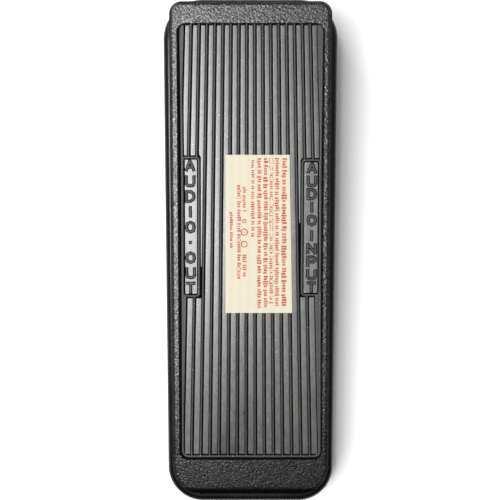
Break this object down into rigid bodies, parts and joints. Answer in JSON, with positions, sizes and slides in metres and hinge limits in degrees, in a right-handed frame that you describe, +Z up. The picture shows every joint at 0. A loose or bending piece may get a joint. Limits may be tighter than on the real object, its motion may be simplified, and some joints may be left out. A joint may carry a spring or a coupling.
{
  "type": "volume pedal",
  "caption": "Rocking foot pedal for an electric instrument: wedge-shaped cast case on rubber feet with a ribbed treadle that turns a potentiometer by rack and pinion.",
  "frame": {"origin": "on the floor, under the middle of the case", "axes": "+Y towards the toe end, +X towards the instrument (input) side, +Z up; stored with the toe raised 5.7 degrees"},
  "size_m": [0.087, 0.254, 0.0645],
  "materials": {
    "case_paint": "satin",
    "treadle_paint": "textured",
    "plate_steel": "satin",
    "tread_rubber": "ribbed",
    "foot_rubber": "matt",
    "stop_rubber": "matt",
    "label_paper": "printed",
    "zinc": "zinc plated",
    "nickel": "nickel plated",
    "rod_steel": "ground",
    "black_plastic": "moulded",
    "nylon": "moulded",
    "board": "solder mask",
    "film_plastic": "moulded",
    "can_sleeve": "sleeved",
    "resistor_body": "lacquered",
    "cell_wrap": "printed",
    "foam": "foam",
    "lug_tin": "tinned"
  },
  "bodies": {
    "case": {"base_housing": "case_paint", "pivot_ears": "case_paint", "bottom_plate": "plate_steel", "rubber_feet": "foot_rubber", "foot_screws": "zinc", "battery": "cell_wrap", "battery_snap": "black_plastic", "battery_pad": "foam", "circuit_board": "board", "board_screws": "zinc", "film_capacitors": "film_plastic", "electrolytic_capacitors": "can_sleeve", "resistors": "resistor_body", "transistors": "black_plastic", "input_jack": "black_plastic", "output_jack": "black_plastic", "jack_nuts": "nickel", "jack_washers": "nickel", "power_socket": "black_plastic", "power_nut": "nickel", "pivot_rod": "rod_steel", "pivot_clips": "zinc", "pot_body": "zinc", "pot_terminals": "lug_tin", "pot_nut": "nickel", "pot_bracket": "zinc", "bracket_screws": "zinc", "rack_guide": "nylon", "footswitch_body": "black_plastic", "footswitch_nuts": "nickel", "footswitch_lugs": "lug_tin", "heel_bumpers": "stop_rubber", "toe_bumpers": "stop_rubber"},
    "door": {"battery_door": "black_plastic"},
    "treadle": {"treadle": "treadle_paint", "rubber_tread": "tread_rubber", "info_label": "label_paper", "pivot_bushes": "nylon", "rack_pin": "rod_steel", "toe_pad": "stop_rubber"},
    "rack": {"rack": "nylon"},
    "rotor": {"pinion": "nylon", "pot_shaft": "rod_steel"},
    "plunger": {"footswitch_plunger": "nickel"}
  },
  "joints": [
    {"name": "treadle_rock", "type": "hinge", "parent": "case", "child": "treadle", "pos_m": [0, 0.004, 0.042], "axis": [1, 0, 0], "range_deg": [-8.5, 5]},
    {"name": "rack_slide", "type": "slide", "parent": "case", "child": "rack", "axis": [0, 0, 1], "range_m": [-0.0068, 0.004]},
    {"name": "pot_turn", "type": "hinge", "parent": "case", "child": "rotor", "pos_m": [0, 0.05576, 0.0215], "axis": [1, 0, 0], "range_deg": [-46, 78]},
    {"name": "switch_press", "type": "slide", "parent": "case", "child": "plunger", "axis": [0, 0, -1], "range_m": [0, 0.002], "stiffness_N_per_m": 1500, "springref_m": -0.003},
    {"name": "door_swing", "type": "hinge", "parent": "case", "child": "door", "pos_m": [0, -0.0096, 0.0082], "axis": [-1, 0, 0], "range_deg": [0, 85]}
  ],
  "couplings": [
    {"joint": "rack_slide", "follows": "treadle_rock", "m_per_rad": 0.0448},
    {"joint": "pot_turn", "follows": "treadle_rock", "ratio": -8.96}
  ]
}
